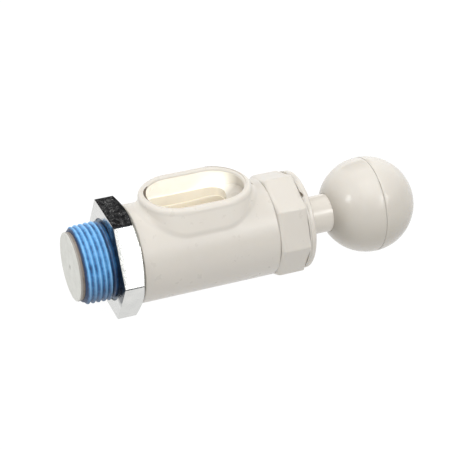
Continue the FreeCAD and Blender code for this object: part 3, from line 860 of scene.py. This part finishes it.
def inside_masks(tree, where):
    """Masks of 0 to 1 over the valve body.

    They are the collar's pocket, its shaded far end, the slot's cut, the bore and the
    collar's outer wall.
    """
    x, y, z = axis_outputs(tree, where)
    middle = (PORT_START_X + PORT_END_X) / 2
    reach = (PORT_END_X - PORT_START_X) / 2 - PORT_HALF_WIDTH
    off_x = math_node(tree, "ABSOLUTE", math_node(tree, "SUBTRACT", x, middle))
    off_x = math_node(tree, "MAXIMUM", math_node(tree, "SUBTRACT", off_x, reach), 0.0)
    far = distance_node(tree, off_x, y)
    radius = distance_node(tree, y, z)
    in_plan = remap(tree, far, 1, 0, *PLAN_EDGE)
    upper = remap(tree, z, 0, 1, *UPPER_SIDE)
    under_rim = remap(tree, z, 1, 0, *RIM_INSIDE)
    pocket = math_node(tree, "MULTIPLY", math_node(tree, "MULTIPLY", in_plan, upper), under_rim)
    far_end = remap(tree, math_node(tree, "SUBTRACT", x, y), 0, 1, *POCKET_END)
    shaded = math_node(tree, "MULTIPLY", pocket, far_end)
    below = remap(tree, radius, 1, 0, *CUT_TOP)
    cut = math_node(tree, "MULTIPLY", pocket, below)
    bore = remap(tree, radius, 1, 0, *BORE_WALL)
    collar = remap(tree, radius, 0, 1, *COLLAR_FOOT)
    wall = remap(tree, z, 1, 0.2, *COLLAR_TOP)
    return pocket, shaded, cut, bore, math_node(tree, "MULTIPLY", collar, wall)


def body_plastic(name):
    """The body's plastic, with painted light: paler on the collar's outer wall and in the collar's pocket,
    and yellower on the slot's cut and in the bore; the pocket's far end is darker as painted shade.

    The pocket and the bore glow a little as painted light, standing for the light that scatters in pale
    plastic.
    """
    mat, tree, bsdf = moulded_plastic(name, IVORY_DARK, IVORY_LIGHT, IVORY_ROUGH, 25.0, IVORY_SUBSURFACE)
    colour = base_colour(bsdf)
    pocket, shaded, cut, bore, collar = inside_masks(tree, coordinates(tree))
    # Painted light and shade: a paler collar wall, a near-white pocket, a yellower cut and bore, a darker
    # far end.
    for mask, tint in (
        (collar, COLLAR_PAINTED_LIGHT),
        (pocket, POCKET_PAINTED_LIGHT),
        (cut, CUT_PAINTED_LIGHT),
        (shaded, POCKET_END_PAINTED_SHADE),
        (bore, CUT_PAINTED_LIGHT),
    ):
        colour = mix_colour(tree, mask, colour, tint)
    link(tree, colour, bsdf.inputs["Base Color"])
    # The pocket and the bore glow as painted light.
    bsdf.inputs["Emission Color"].default_value = (*CUT_PAINTED_LIGHT, 1)
    plain = math_node(tree, "SUBTRACT", pocket, shaded)
    glow = math_node(tree, "MULTIPLY", math_node(tree, "MAXIMUM", plain, 0.0), POCKET_PAINTED_GLOW)
    glow = math_node(tree, "ADD", glow, math_node(tree, "MULTIPLY", bore, BORE_PAINTED_GLOW))
    link(tree, glow, bsdf.inputs["Emission Strength"])
    return mat


def ball_plastic(name):
    """The float's plastic, glossier than the body's, with painted shade darkening its lower side."""
    mat, tree, bsdf = moulded_plastic(name, IVORY_DARK, IVORY_LIGHT, BALL_ROUGH, 28.0, IVORY_SUBSURFACE)
    plain = base_colour(bsdf)
    z = axis_outputs(tree, coordinates(tree))[2]
    # Painted shade: the colour darkens towards the ball's lower side.
    painted_shade = math_node(tree, "MULTIPLY", remap(tree, z, 0, 1, *BALL_SHADE_TOP), remap(tree, z, 1, 0.3, *BALL_SHADE_FOOT))
    link(tree, mix_colour(tree, painted_shade, plain, BALL_PAINTED_SHADE), bsdf.inputs["Base Color"])
    return mat


def rough_metal(name, dark, light, rough, seed, grain, depth, stretch=(1, 1, 1)):
    """Plated or drawn metal with a mottled or drawn surface."""
    mat, tree, bsdf = new_material(name)
    where = coordinates(tree, stretch)
    cloud = noise_node(tree, where, 4 * MM, 3, 0.6, seed)
    link(tree, mix_colour(tree, remap(tree, cloud, 0, 1), dark, light), bsdf.inputs["Base Color"])
    gloss = noise_node(tree, where, 1.2 * MM, 3, 0.6, seed + 1)
    link(tree, remap(tree, gloss, rough - 0.05, rough + 0.08), bsdf.inputs["Roughness"])
    coarse = noise_node(tree, where, grain, 3, 0.6, seed + 2)
    fine = noise_node(tree, where, grain / 5, 2, 0.5, seed + 3)
    add_bump(tree, bsdf, [(coarse, depth), (fine, depth / 8)])
    bsdf.inputs["Metallic"].default_value = 1.0
    return mat


def scuffed_plate(name):
    """Nickel plate with a fine dark and pale mottle, as if scuffed by a spanner."""
    mat, tree, bsdf = new_material(name)
    where = coordinates(tree)
    mottle = noise_node(tree, where, 1.3 * MM, 5, 0.7, 13.0)
    link(tree, ramp(tree, mottle, SCUFF_STOPS), bsdf.inputs["Base Color"])
    grain = noise_node(tree, where, 0.7 * MM, 3, 0.6, 14.0)
    add_bump(tree, bsdf, [(grain, 0.1 * MM)])
    bsdf.inputs["Roughness"].default_value = 0.13
    bsdf.inputs["Metallic"].default_value = 1.0
    return mat


def smear_face(tree):
    """Dark sealant wiped over one side of the hexagon's front face, with a soft, uneven edge."""
    bsdf = tree.nodes["Principled BSDF"]
    plain = base_colour(bsdf)
    where = coordinates(tree)
    x, y, z = axis_outputs(tree, where)
    wander = remap(tree, noise_node(tree, where, 3 * MM, 3, 0.6, 15.0), -SMEAR_WANDER, SMEAR_WANDER)
    aside = remap(tree, math_node(tree, "ADD", y, wander), 0, 1, *SMEAR_SIDE)
    low = remap(tree, math_node(tree, "ADD", z, wander), 0, 1, *SMEAR_FOOT)
    front = remap(tree, x, 1, 0, *SMEAR_FACE)
    smear = math_node(tree, "MULTIPLY", math_node(tree, "MULTIPLY", aside, low), front)
    link(tree, mix_colour(tree, smear, plain, SMEAR_COLOUR), bsdf.inputs["Base Color"])


def rubber(name, dark, light, seed):
    mat, tree, bsdf = new_material(name)
    where = coordinates(tree)
    cloud = noise_node(tree, where, 1.5 * MM, 4, 0.6, seed)
    link(tree, mix_colour(tree, remap(tree, cloud, 0, 1), dark, light), bsdf.inputs["Base Color"])
    link(tree, remap(tree, cloud, 0.55, 0.75), bsdf.inputs["Roughness"])
    fine = noise_node(tree, where, 0.25 * MM, 3, 0.6, seed + 1)
    add_bump(tree, bsdf, [(fine, 0.02 * MM)])
    return mat


def turned_plastic(name, dark, light, rough, seed):
    """Plastic faced on a lathe: fine rings about the valve's axis, a dark rim and a mark in the middle."""
    mat, tree, bsdf = new_material(name)
    where = coordinates(tree)
    cloud = noise_node(tree, where, 4 * MM, 3, 0.6, seed)
    speck = noise_node(tree, where, 0.7 * MM, 3, 0.6, seed + 1)
    total = math_node(tree, "ADD", math_node(tree, "MULTIPLY_ADD", speck, 0.5, -0.25), cloud)
    colour = mix_colour(tree, remap(tree, total, 0, 1), dark, light)
    x, y, z = axis_outputs(tree, where)
    rim = remap(tree, x, 0, 1, *DISC_EDGE)
    colour = mix_colour(tree, rim, colour, DISC_RIM_COLOUR)
    tall = math_node(tree, "MULTIPLY", z, 0.45)
    mark = remap(tree, distance_node(tree, tall, y), 0.85, 0, *DISC_MARK)
    link(tree, mix_colour(tree, mark, colour, DISC_RIM_COLOUR), bsdf.inputs["Base Color"])
    rings = add(tree, "ShaderNodeTexWave", wave_type="RINGS", rings_direction="X", wave_profile="SIN")
    rings.inputs["Scale"].default_value = 1 / (2 * RING_PITCH)
    rings.inputs["Distortion"].default_value = 0.6
    rings.inputs["Detail"].default_value = 2.0
    link(tree, where, rings.inputs["Vector"])
    add_bump(tree, bsdf, [(rings.outputs["Fac"], 0.01 * MM), (speck, 0.01 * MM)])
    bsdf.inputs["Roughness"].default_value = rough
    return mat


def thread_height(tree):
    """Height above the thread's root cone, 0 at the root and 1 at the crest, and the coordinates."""
    where = coordinates(tree)
    x, y, z = axis_outputs(tree, where)
    r = distance_node(tree, y, z)
    along = math_node(tree, "SUBTRACT", x, STUB_END_X)
    root = math_node(tree, "ADD", math_node(tree, "MULTIPLY", along, TAPER), SMALL_CREST_R - THREAD_DEPTH)
    above = math_node(tree, "SUBTRACT", r, root)
    return math_node(tree, "DIVIDE", above, THREAD_DEPTH), where


def sealant_paint(name):
    """A thick blue thread sealant, light on the crests and dark in the roots, partly for the thicker coat
    there and partly as painted shade; its lower side is darkened as painted shade.
    """
    mat, tree, bsdf = new_material(name)
    height, where = thread_height(tree)
    blotch = noise_node(tree, where, 2.2 * MM, 4, 0.6, 1.0)
    shifted = math_node(tree, "ADD", height, remap(tree, blotch, -0.1, 0.1))
    colour = ramp(tree, shifted, SEALANT_AND_SHADE_STOPS)
    # Painted shade: the sealant darkens towards its lower side.
    lower = remap(tree, axis_outputs(tree, where)[2], 0, 0.8, *SEALANT_SHADE_SPAN)
    colour = mix_colour(tree, lower, colour, SEALANT_ROOT_AND_SHADE)
    link(tree, colour, bsdf.inputs["Base Color"])
    gloss = noise_node(tree, where, 1.0 * MM, 3, 0.6, 2.0)
    link(tree, remap(tree, gloss, 0.38, 0.6), bsdf.inputs["Roughness"])
    grain = noise_node(tree, where, 0.5 * MM, 3, 0.6, 3.0)
    add_bump(tree, bsdf, [(grain, 0.05 * MM)])
    return mat


def darkened_thread(name):
    """The bare thread beside the hexagon, and the hexagon's edges: dull metal, dark blue-black, darkest in
    the thread's roots and on the edges and bluish on the crests.
    """
    mat, tree, bsdf = new_material(name)
    height, where = thread_height(tree)
    colour = ramp(tree, math_node(tree, "MULTIPLY", height, 0.5), THREAD_DARK_STOPS)
    link(tree, colour, bsdf.inputs["Base Color"])
    grain = noise_node(tree, where, 0.8 * MM, 3, 0.6, 6.0)
    link(tree, remap(tree, grain, 0.3, 0.5), bsdf.inputs["Roughness"])
    add_bump(tree, bsdf, [(grain, 0.04 * MM)])
    bsdf.inputs["Metallic"].default_value = 0.6
    return mat


MATERIALS = {
    "nickel_plate": rough_metal(
        "nickel_plate_hex", NICKEL_DARK, NICKEL_LIGHT, 0.12, 11.0, 0.8 * MM, 0.12 * MM
    ),
    "ivory_plastic": moulded_plastic(
        "ivory_plastic_moulded", IVORY_DARK, IVORY_LIGHT, IVORY_ROUGH, 21.0, IVORY_SUBSURFACE
    )[0],
    "disc_plastic": turned_plastic("disc_plastic_turned", DISC_DARK, DISC_LIGHT, 0.5, 31.0),
    "guide_plastic": moulded_plastic("guide_plastic_moulded", GUIDE_DARK, GUIDE_LIGHT, 0.45, 41.0)[0],
    "black_rubber": rubber("black_rubber_matt", GASKET_DARK, GASKET_LIGHT, 51.0),
    "seal_rubber": rubber("seal_rubber_brown", SEAL_DARK, SEAL_LIGHT, 61.0),
    "spring_steel": rough_metal(
        "spring_steel_drawn", STEEL_DARK, STEEL_LIGHT, 0.25, 71.0, 0.3 * MM, 0.01 * MM, (0.2, 1, 1)
    ),
    "brass": rough_metal(
        "brass_turned", BRASS_DARK, BRASS_LIGHT, 0.28, 81.0, 0.3 * MM, 0.01 * MM, (4, 1, 1)
    ),
}


def dress(obj, mat):
    obj.data.materials.clear()
    obj.data.materials.append(mat)


def dress_all():
    slots = {part["node"]: part["material_slot"] for part in frame["record"]["subparts"]}
    pieces = bpy.data.objects
    for name, obj in NODES.items():
        dress(obj, MATERIALS[slots[name]])
    for obj in pieces:
        if obj.type == "MESH" and "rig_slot" in obj:
            dress(obj, MATERIALS[obj["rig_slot"]])
    dress(NODES["valve_body"], body_plastic("ivory_plastic_body"))
    ball = ball_plastic("ivory_plastic_ball")
    for name in ("ball_inner_half", "ball_outer_half"):
        dress(pieces[name], ball)
    # The seam bead is coloured dark, as painted shade in the joint.
    seam = moulded_plastic("ivory_plastic_seam", SEAM_PAINTED_SHADE_LOW, SEAM_PAINTED_SHADE_HIGH, SEAM_ROUGH, 30.0)[0]
    dress(pieces["ball_seam_flash"], seam)
    # A paler copy of the ivory for the sleeve, as painted light.
    sleeve = moulded_plastic("ivory_plastic_sleeve", SLEEVE_PAINTED_LIGHT_LOW, SLEEVE_PAINTED_LIGHT_HIGH, BALL_ROUGH, 35.0)[0]
    dress(NODES["stem_sleeve"], sleeve)
    flash = moulded_plastic("ivory_plastic_flash", FLASH_DARK, FLASH_LIGHT, SEAM_ROUGH, 29.0)[0]
    for name in ("rim_flash_long", "rim_flash_short"):
        dress(pieces[name], flash)
    dark_mark = rubber("dark_mark_brown", DARK_MARK_LOW, DARK_MARK_HIGH, 33.0)
    for name in ("rim_chip", "cap_nick"):
        dress(pieces[name], dark_mark)
    dress(pieces["thread_sealant"], sealant_paint("sealant_blue"))
    dress_fitting(pieces["fitting_skin"])


def dress_fitting(fitting):
    """Darkens the thread and the hexagon's edges, scuffs its top flat and smears its front face."""
    smear_face(MATERIALS["nickel_plate"].node_tree)
    fitting.data.materials.append(darkened_thread("thread_darkened"))
    fitting.data.materials.append(scuffed_plate("nickel_plate_scuffed"))
    darkened, scuffed = 1, 2
    for face in fitting.data.polygons:
        x = face.center.x
        r = math.hypot(face.center.y, face.center.z)
        on_thread = x < RELIEF_DEPTH + 0.01 * MM and BORE_R + 0.4 * MM < r < RELIEF_R - 0.1 * MM
        on_edge = r > HEX_CORNER_R - 0.1 * MM and 0 < x < HEX_CHAMFER_X
        on_flat = r > HEX_APOTHEM - 0.1 * MM and 0 < x < HEX_REAR_X
        if on_thread or on_edge:
            face.material_index = darkened
        elif on_flat and face.normal.z > 0.97:
            face.material_index = scuffed


dress_all()


# ---------------------------------------------------------------- floor, light and camera

def direction(azimuth, elevation):
    """The way from the valve to a place at this azimuth (0 is -Y, 90 is +X) and elevation."""
    a, e = math.radians(azimuth), math.radians(elevation)
    return Vector((math.sin(a) * math.cos(e), -math.cos(a) * math.cos(e), math.sin(e)))


FLOOR_Z = -18.05 * MM
FLOOR_HALF = 4.0
FLOOR_GLOW = 0.98
FLOOR_ALBEDO = 0.05
CARD_WAY = (0.242, 0.789, 0.564)
CARD_DISTANCE = 0.8
CARD_HALF = 0.24
CARD_ALBEDO = 0.065
CORNERS = [(-1, -1), (1, -1), (1, 1), (-1, 1)]
SKY_SCALE = 2.0
SKY_LEVELS = [(-1.0, 1.35), (-0.5, 1.0), (-0.15, 0.62), (0.0, 0.45), (0.3, 0.62), (0.6, 1.02), (1.0, 1.6)]
BACKDROP_WAY = (0.36, 0.93, 0.05)
BACKDROP_LEVEL = 1.2
SIDE_LEVELS = (1.22, 0.7)
LAMP_SIZE = (0.24, 0.24)
LAMP_DISTANCE = 0.75
# Each lamp's name, the way to it, distance, width and height, radiance and shape.
LAMPS = [
    ("lamp_right", (0.44, -0.70, 0.562), LAMP_DISTANCE, LAMP_SIZE, 8.5, "DISK"),
    ("lamp_left", (-0.812, -0.18, 0.556), LAMP_DISTANCE, LAMP_SIZE, 6.0, "DISK"),
    ("front_fill", (0.24, -0.88, 0.40), 1.6, (0.7, 0.55), 1.6, "RECTANGLE"),
    ("overhead", (0.0, -0.35, 0.94), 0.9, (0.7, 0.7), 1.2, "RECTANGLE"),
]


def matt_material(name, albedo):
    """A grey that reflects no highlight."""
    mat, _, bsdf = new_material(name)
    bsdf.inputs["Base Color"].default_value = (albedo, albedo, albedo, 1)
    bsdf.inputs["Specular IOR Level"].default_value = 0.0
    return mat, bsdf


def stage_square(name, corners, mat):
    """A flat square of the studio, which is no part of the valve."""
    mesh = bpy.data.meshes.new(name)
    mesh.from_pydata([tuple(v) for v in corners], [], [(0, 1, 2, 3)])
    mesh.materials.append(mat)
    square = bpy.data.objects.new(name, mesh)
    bpy.context.scene.collection.objects.link(square)
    return square


def build_floor():
    mat, bsdf = matt_material("floor_white", FLOOR_ALBEDO)
    bsdf.inputs["Roughness"].default_value = 0.9
    bsdf.inputs["Emission Color"].default_value = (1, 1, 1, 1)
    bsdf.inputs["Emission Strength"].default_value = FLOOR_GLOW
    floor = stage_square("floor", [(x * FLOOR_HALF, y * FLOOR_HALF, FLOOR_Z) for x, y in CORNERS], mat)
    floor.visible_diffuse = False


def build_dark_card():
    """A black card behind the valve, which only reflections see: it darkens the top flat."""
    way = Vector(CARD_WAY).normalized()
    side = way.cross(Vector((0, 0, 1))).normalized()
    rise = side.cross(way)
    mat, bsdf = matt_material("card_black", CARD_ALBEDO)
    bsdf.inputs["Roughness"].default_value = 1.0
    corners = [way * CARD_DISTANCE + (side * a + rise * b) * CARD_HALF for a, b in CORNERS]
    card = stage_square("dark_card", corners, mat)
    card.visible_camera = False
    card.visible_diffuse = False
    card.visible_shadow = False
    card.visible_transmission = False


def area_light(name, towards, distance, size, radiance, shape):
    """A lamp of this radiance, placed in a direction from the valve's middle."""
    light = bpy.data.lights.new(name, "AREA")
    light.shape = shape
    light.size, light.size_y = size
    area = size[0] * size[1] * (math.pi / 4 if shape == "DISK" else 1)
    light.energy = radiance * math.pi * area
    obj = bpy.data.objects.new(name, light)
    way = Vector(towards).normalized()
    obj.location = (CAD_LOW + CAD_HIGH) / 2 + way * distance
    obj.rotation_euler = way.to_track_quat("Z", "Y").to_euler()
    bpy.context.scene.collection.objects.link(obj)


def build_world():
    """A studio: a white backdrop behind, a dim room in front, pale below and bright overhead."""
    world = bpy.data.worlds.new("studio")
    world.use_nodes = True
    tree = world.node_tree
    coord = add(tree, "ShaderNodeTexCoord")
    x, _, z = axis_outputs(tree, coord.outputs["Generated"])
    height = remap(tree, z, 0, 1, -1, 1)
    room = ramp(tree, height, [(0.5 + 0.5 * rise, (level / SKY_SCALE,) * 3) for rise, level in SKY_LEVELS])
    ahead = add(tree, "ShaderNodeVectorMath", operation="DOT_PRODUCT")
    ahead.inputs[1].default_value = BACKDROP_WAY
    link(tree, coord.outputs["Generated"], ahead.inputs[0])
    backdrop = remap(tree, ahead.outputs["Value"], 0, BACKDROP_LEVEL / SKY_SCALE, 0.25, 0.85)
    above = remap(tree, z, 0, 1, -0.1, 0.05)
    backdrop = math_node(tree, "MULTIPLY", backdrop, above)
    sides = remap(tree, x, *SIDE_LEVELS, -1, 1)
    room = mix_colour(tree, sides, (0.0, 0.0, 0.0), room)
    total = mix_colour(tree, backdrop, room, (1.0, 1.0, 1.0))
    background = tree.nodes["Background"]
    link(tree, total, background.inputs["Color"])
    background.inputs["Strength"].default_value = SKY_SCALE
    bpy.context.scene.world = world


def build_camera():
    data = bpy.data.cameras.new("camera")
    data.lens = LENS
    data.sensor_width = SENSOR
    data.clip_start = 0.01
    camera = bpy.data.objects.new("camera", data)
    back = direction(VIEW_AZIMUTH, VIEW_ELEVATION)
    camera.location = VIEW_AIM + back * VIEW_DISTANCE
    roll = Matrix.Rotation(math.radians(VIEW_ROLL), 4, "Z")
    camera.rotation_euler = (back.to_track_quat("Z", "Y").to_matrix().to_4x4() @ roll).to_euler()
    bpy.context.scene.collection.objects.link(camera)
    bpy.context.scene.camera = camera


build_floor()
build_dark_card()
build_world()
for lamp in LAMPS:
    area_light(*lamp)
build_camera()

scene = bpy.context.scene
scene.view_settings.view_transform = "Standard"
scene.view_settings.look = "None"
